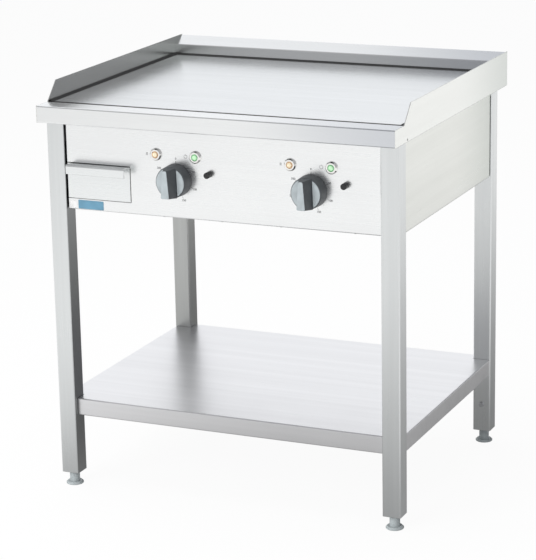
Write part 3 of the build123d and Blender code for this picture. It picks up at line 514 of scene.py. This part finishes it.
# ---- drip drawer: a folded front with its handle lip, and the pan on its runners ----
# The front is one stainless sheet, with a line of painted shadow under its bent lip. The pan behind it is
# plated, and runs between two folded rails that stand on the cover.
drawer_low, drawer_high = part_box("drawer_front")
lip_foot = min(v.co.z for v in nodes["drawer_front"].data.vertices if v.co.y < drawer_low[1] + 0.001)
# Painted shadow of the lip: a grey line on the drawer front under it.
SHADOW_HEIGHT = 0.0075
LIP_END = 0.0135
LIP_SHADOW = ((-1, drawer_low[1] + 0.004, lip_foot - SHADOW_HEIGHT), (drawer_high[0] - LIP_END, 1, lip_foot))
drawer_steel = brushed_steel("drawer_steel", "x", (0.88, 0.90, 0.90), (0.93, 0.95, 0.95), 0.24, 0.32,
                             shade_box=LIP_SHADOW, shade_tint=(0.42, 0.42, 0.42))
dress(drawer_steel, "drawer_front")
dress(zinc_steel, "drawer_pan", "drawer_runners")

# ---- controls: knobs with light face plates, lamps in chromed bezels, caps over the reset buttons ----
# The knobs are dark moulded plastic on plated spindles, with silver-grey plates on the skirt and on the grip
# ridge. Each lamp is a glossy lens in a chromed bezel, tinted pale at its centre and paler on its flange as
# painted glow, with a darker coloured ring between, and its barrel has a nut behind the panel.
knob_plastic = moulded("knob_plastic", (0.085, 0.094, 0.102), 0.42)
knob_silver = moulded("knob_silver", (0.46, 0.51, 0.53), 0.45)
dress(knob_plastic, "knob_left", "knob_right")
dress(knob_silver, "knob_face_left", "knob_face_right")
dress(zinc_steel, "knob_spindle_left", "knob_spindle_right")
dress(moulded("cap_plastic", (0.018, 0.018, 0.02), 0.35), "reset_cap_left", "reset_cap_right")
dress(moulded("button_plastic", (0.45, 0.04, 0.03), 0.35), "reset_button_left", "reset_button_right")
chrome = brushed_steel("bezel_chrome", "z", (0.88, 0.87, 0.85), (0.93, 0.92, 0.90), 0.12, 0.22, 0.05, 0.0005)
dress(chrome, "lamp_bezels")


def turned(name, profile, centres, materials, segments=48):
    """A shape turned on an axis along Y at each centre.

    Profile is (radius, y, material index) from the middle out."""
    shape = bmesh.new()
    turns = [2 * math.pi * k / segments for k in range(segments)]
    for cx, cz in centres:
        pole = shape.verts.new((cx, profile[0][1], cz))
        rings = []
        for radius, y, _ in profile[1:]:
            spots = [(cx + radius * math.sin(turn), y, cz + radius * math.cos(turn)) for turn in turns]
            rings.append([shape.verts.new(spot) for spot in spots])
        for k in range(segments):
            following = (k + 1) % segments
            tip = shape.faces.new((pole, rings[0][k], rings[0][following]))
            tip.material_index = profile[1][2]
            for inner, outer, (_, _, index) in zip(rings, rings[1:], profile[2:]):
                strip = shape.faces.new((inner[k], outer[k], outer[following], inner[following]))
                strip.material_index = index
        shape.faces.new(rings[-1])
    bmesh.ops.recalc_face_normals(shape, faces=shape.faces)
    for face in shape.faces:
        face.smooth = len(face.verts) < segments
    return piece_of(shape, name, *materials)


NEAR = 0.03


def bosses(node):
    """The axes of a node's separate round pieces, as (x, z), found from where its points gather."""
    points = [vertex.co for vertex in nodes[node].data.vertices]
    starts = []
    for point in points:
        if all(abs(point.x - start) > NEAR for start in starts):
            starts.append(point.x)
    centres = []
    for start in starts:
        near = [point for point in points if abs(point.x - start) < NEAR]
        xs = [point.x for point in near]
        zs = [point.z for point in near]
        centres.append(((min(xs) + max(xs)) / 2, (min(zs) + max(zs)) / 2))
    return centres


GLASS, RING, FLANGE = range(3)
LENS_PROFILE = (
    (0.0, 0.0, GLASS), (0.0024, 0.0001, GLASS), (0.0042, 0.0004, GLASS), (0.0052, 0.0009, GLASS),
    (0.0054, 0.0015, RING), (0.0070, 0.0016, RING),
    (0.0072, 0.0014, FLANGE), (0.0074, 0.0022, FLANGE),
)
# The glass colours are pale as painted glow; the ring colours are darker.
for name, node, slot, glass, ring in (
    ("heating_lens", "heating_lamp_lenses", "orange_lens", (1.0, 0.85, 0.60), (0.55, 0.30, 0.13)),
    ("power_lens", "power_lamp_lenses", "green_lens", (0.62, 1.0, 0.62), (0.16, 0.46, 0.20)),
):
    low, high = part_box(node)
    proud, back = low[1], high[1]
    dome = [(radius, proud + sunk, index) for radius, sunk, index in LENS_PROFILE]
    dome.append((LENS_PROFILE[-1][0], back, FLANGE))
    # Painted glow: the flange is tinted paler still than the lens's centre, as if lit.
    flange = tuple(0.75 * c + 0.25 for c in glass)
    lens = turned(name, dome, bosses(node), (
        moulded(name + "_glass", glass, 0.12, 0.03, coat=0.6),
        moulded(name + "_ring", ring, 0.18, 0.03, coat=0.6),
        moulded(name + "_flange", flange, 0.2, 0.03, coat=0.4),
    ))
    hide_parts(node)

# ---- dial print: a scale round each knob and a small sign by each lamp, in thin dark ink on the panel ----
# Dark ink 0.08 mm thick. The numbers' places are degrees, from 0 at the top clockwise, and one tree lays
# every tick and bar on an arc.
ink = moulded("dial_ink", (0.09, 0.09, 0.10), 0.55, 0.05)
panel_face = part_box("front_panel")[0][1]
INK = 0.00008


def arc_of_bars():
    """Bars on an arc about Centre in the XZ plane, clockwise from the top: a tree with named inputs."""
    tree = bpy.data.node_groups.new("arc_of_bars", "GeometryNodeTree")
    for label, kind in (("Count", "Int"), ("First", "Float"), ("Step", "Float"), ("Radius", "Float"),
                        ("Bar", "Vector"), ("Centre", "Vector"), ("Ink", "Material")):
        tree.interface.new_socket(name=label, in_out="INPUT", socket_type="NodeSocket" + kind)
    tree.interface.new_socket(name="Bars", in_out="OUTPUT", socket_type="NodeSocketGeometry")
    given = tree.nodes.new("NodeGroupInput")
    gives = tree.nodes.new("NodeGroupOutput")
    index = tree.nodes.new("GeometryNodeInputIndex")
    turn = math_node(tree, "ADD", math_node(tree, "MULTIPLY", index.outputs[0], given.outputs["Step"]),
                     given.outputs["First"])
    side = math_node(tree, "MULTIPLY", math_node(tree, "SINE", turn, 0), given.outputs["Radius"])
    rise = math_node(tree, "MULTIPLY", math_node(tree, "COSINE", turn, 0), given.outputs["Radius"])
    spot = tree.nodes.new("ShaderNodeCombineXYZ")
    wire(tree, side, spot.inputs["X"])
    wire(tree, rise, spot.inputs["Z"])
    points = tree.nodes.new("GeometryNodePoints")
    wire(tree, given.outputs["Count"], points.inputs["Count"])
    wire(tree, spot.outputs[0], points.inputs["Position"])
    bar = tree.nodes.new("GeometryNodeMeshCube")
    wire(tree, given.outputs["Bar"], bar.inputs["Size"])
    lean = tree.nodes.new("ShaderNodeCombineXYZ")
    wire(tree, turn, lean.inputs["Y"])
    lay = tree.nodes.new("GeometryNodeInstanceOnPoints")
    wire(tree, points.outputs[0], lay.inputs["Points"])
    wire(tree, bar.outputs["Mesh"], lay.inputs["Instance"])
    wire(tree, lean.outputs[0], lay.inputs["Rotation"])
    shift = tree.nodes.new("GeometryNodeTransform")
    wire(tree, lay.outputs[0], shift.inputs["Geometry"])
    wire(tree, given.outputs["Centre"], shift.inputs["Translation"])
    real = tree.nodes.new("GeometryNodeRealizeInstances")
    wire(tree, shift.outputs[0], real.inputs[0])
    paint = tree.nodes.new("GeometryNodeSetMaterial")
    wire(tree, real.outputs[0], paint.inputs["Geometry"])
    wire(tree, given.outputs["Ink"], paint.inputs["Material"])
    wire(tree, paint.outputs[0], gives.inputs[0])
    return tree


def grown(name, tree, **values):
    """The plain mesh that a tree gives with these inputs."""
    holder = bpy.data.objects.new(name, bpy.data.meshes.new(name))
    scene.collection.objects.link(holder)
    modifier = holder.modifiers.new("tree", "NODES")
    modifier.node_group = tree
    for item in tree.interface.items_tree:
        if item.in_out == "INPUT" and item.name in values:
            modifier[item.identifier] = values[item.name]
    mesh = bpy.data.meshes.new_from_object(holder.evaluated_get(bpy.context.evaluated_depsgraph_get()))
    bpy.data.objects.remove(holder)
    return mesh


def lettered(word, size, x, z):
    """A number as thin solid ink, centred on (x, z) on the panel's face."""
    curve = bpy.data.curves.new(word, "FONT")
    curve.body = word
    curve.size = size
    curve.align_x = "CENTER"
    curve.align_y = "CENTER"
    curve.extrude = INK / 2
    curve.offset = 0.0001
    holder = bpy.data.objects.new(word, curve)
    scene.collection.objects.link(holder)
    mesh = bpy.data.meshes.new_from_object(holder.evaluated_get(bpy.context.evaluated_depsgraph_get()))
    bpy.data.objects.remove(holder)
    mesh.transform(Matrix.Translation((x, panel_face - INK / 2, z)) @ Matrix.Rotation(math.pi / 2, 4, "X"))
    return mesh


def gathered(name, meshes, material):
    """One piece from several meshes, with one material."""
    shape = bmesh.new()
    for mesh in meshes:
        shape.from_mesh(mesh)
    for face in shape.faces:
        face.material_index = 0
        face.smooth = False
    return piece_of(shape, name, material)


bars = arc_of_bars()
heat_lamps = bosses("heating_lamp_lenses")
power_lamps = bosses("power_lamp_lenses")
FIRST_ANGLE, STEP_ANGLE, STEPS = 65, 47, 6
DEGREES_A_STEP = 50
NUMBER_HEIGHT = 0.0062
NUMBER_REACH = 0.0450
WARMTH_OFFSET = 0.021
WARMTH_PITCH = 0.0016
POWER_OFFSET = 0.0225
DIAL = {0: "0"}
for k in range(STEPS):
    DIAL[FIRST_ANGLE + k * STEP_ANGLE] = str(DEGREES_A_STEP * (k + 1))
for side, heat, power in zip(("left", "right"), sorted(heat_lamps), sorted(power_lamps)):
    low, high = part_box("knob_spindle_" + side)
    cx, cz = (low[0] + high[0]) / 2, (low[2] + high[2]) / 2
    centre = (cx, panel_face - INK / 2, cz)
    first, step = math.radians(FIRST_ANGLE), math.radians(STEP_ANGLE)
    marks = [
        grown("long_ticks", bars, Count=STEPS, First=first, Step=step, Radius=0.0385,
              Bar=(0.0006, INK, 0.005), Centre=centre, Ink=ink),
        grown("short_ticks", bars, Count=STEPS - 1, First=first + step / 2, Step=step, Radius=0.0378,
              Bar=(0.0004, INK, 0.003), Centre=centre, Ink=ink),
        grown("zero_tick", bars, Count=1, First=0.0, Step=0.0, Radius=0.0376,
              Bar=(0.0009, INK, 0.005), Centre=centre, Ink=ink),
    ]
    for angle, word in DIAL.items():
        turn = math.radians(angle)
        marks.append(lettered(word, NUMBER_HEIGHT, cx + NUMBER_REACH * math.sin(turn),
                              cz + NUMBER_REACH * math.cos(turn)))
    # the warmth sign is three short upright bars, and the power sign an open ring with a bar in its gap
    for k in (-1, 0, 1):
        spot = (heat[0] - WARMTH_OFFSET + WARMTH_PITCH * k, panel_face - INK / 2, heat[1])
        marks.append(grown("warmth", bars, Count=1, First=0.0, Step=0.0, Radius=0.0,
                           Bar=(0.0006, INK, 0.006), Centre=spot, Ink=ink))
    spot = (power[0] - POWER_OFFSET, panel_face - INK / 2, power[1])
    marks.append(grown("power_ring", bars, Count=31, First=math.radians(30), Step=math.radians(10),
                       Radius=0.0036, Bar=(0.0008, INK, 0.0006), Centre=spot, Ink=ink))
    marks.append(grown("power_bar", bars, Count=1, First=0.0, Step=0.0, Radius=0.0030,
                       Bar=(0.0006, INK, 0.0036), Centre=spot, Ink=ink))
    gathered("dial_print_" + side, marks, ink)

# ---- labels and a shade strip: thin films stuck to the front panel, with rounded corners ----
# A plain blue plate label with a white tab to its left, at the panel's lower left. A black strip of painted
# shade along the drawer's right edge stands in for the shadowed gap there.
CORNER_STEPS = 5
FILM = 0.00015
LABEL_INSET = 0.0225
LABEL_WIDTH = 0.060
LABEL_RISE = (0.0022, 0.0212)
TAB_WIDTH = 0.018
TAB_GAP = 0.002
TAB_RISE = (0.0035, 0.0190)
GAP_SHADE = 0.0001
GAP_SHADE_REACH = (0.0001, 0.0018)
GAP_SHADE_DROP = 0.004


def film(name, x_range, z_range, thickness, colour, rough, corner=0.0015):
    """A thin sheet with rounded corners stuck to the panel's face."""
    (x0, x1), (z0, z1) = x_range, z_range
    shape = bmesh.new()
    outline = []
    for cx, cz, start in ((x1 - corner, z1 - corner, 0), (x1 - corner, z0 + corner, 90),
                          (x0 + corner, z0 + corner, 180), (x0 + corner, z1 - corner, 270)):
        for k in range(CORNER_STEPS):
            turn = math.radians(start + 90 * k / (CORNER_STEPS - 1))
            spot = (cx + corner * math.sin(turn), panel_face - thickness, cz + corner * math.cos(turn))
            outline.append(shape.verts.new(spot))
    face = shape.faces.new(outline)
    walls = bmesh.ops.extrude_face_region(shape, geom=[face])["geom"]
    back = [item for item in walls if isinstance(item, bmesh.types.BMVert)]
    bmesh.ops.translate(shape, vec=(0, thickness, 0), verts=back)
    bmesh.ops.recalc_face_normals(shape, faces=shape.faces)
    return piece_of(shape, name, moulded(name, colour, rough, 0.04, coat=0.3))


panel_left, _, panel_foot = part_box("front_panel")[0]
label_x = panel_left + LABEL_INSET
tab_x = label_x - TAB_GAP
film("label_film", (label_x, label_x + LABEL_WIDTH), [panel_foot + rise for rise in LABEL_RISE], FILM,
     (0.13, 0.31, 0.44), 0.4)
# Painted shade: a black film where the gap along the drawer's right edge falls in shadow.
film("drawer_gap_shade", [drawer_high[0] + reach for reach in GAP_SHADE_REACH],
     (drawer_low[2], drawer_high[2] - GAP_SHADE_DROP), GAP_SHADE, (0.05, 0.05, 0.05), 0.5, corner=0.0004)
film("label_tab", (tab_x - TAB_WIDTH, tab_x), [panel_foot + rise for rise in TAB_RISE], FILM,
     (0.88, 0.88, 0.87), 0.5)

# ---- switchgear: thermostats, contactors and terminals inside, and the cable gland behind ----
# Moulded plastic, dark for the switching parts and pale for the terminals and the lamps' barrels. The
# thermostats sit behind the front panel, and the contactors and terminals stand on the cover. The gland's
# nut holds it in the rear panel.
switch_plastic = moulded("switch_plastic", (0.12, 0.12, 0.12), 0.5)
pale_plastic = moulded("pale_plastic", (0.62, 0.60, 0.55), 0.5)
dress(switch_plastic, "thermostat_left", "thermostat_right", "safety_thermostats", "contactors")
dress(pale_plastic, "terminal_block", "lamp_barrels")
dress(moulded("gland_plastic", (0.05, 0.05, 0.055), 0.45), "cable_gland")
